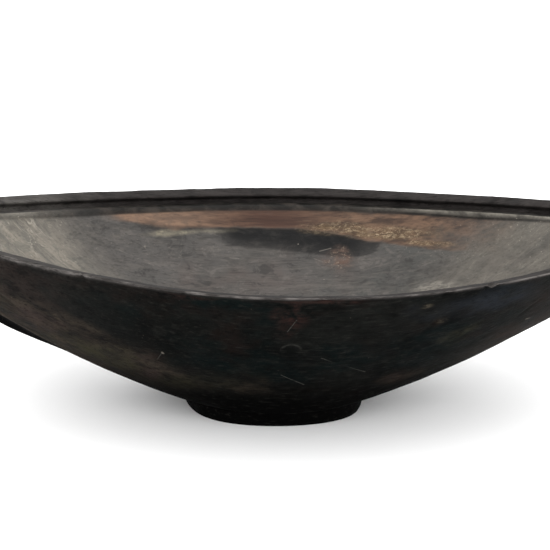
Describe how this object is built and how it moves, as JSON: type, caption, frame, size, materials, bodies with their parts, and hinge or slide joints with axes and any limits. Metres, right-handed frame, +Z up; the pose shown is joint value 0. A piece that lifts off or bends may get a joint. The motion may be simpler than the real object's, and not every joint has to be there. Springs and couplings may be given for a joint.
{
  "type": "carved wooden bowl",
  "caption": "Boat-shaped carved wooden bowl with raised pointed ends, an inward-sloping rim over a ledge, and a low round foot.",
  "frame": {"origin": "centre of the overall box, on the surface that the foot stands on", "axes": "+X along the grain from the high end to the low end, +Y across the bowl, +Z up"},
  "size_m": [0.7, 0.354, 0.167],
  "materials": {
    "wood": "dark aged hand-carved hardwood, blackened outside, worn reddish brown on the upper inner wall"
  },
  "bodies": {
    "root": {"bowl": "wood"}
  },
  "joints": []
}
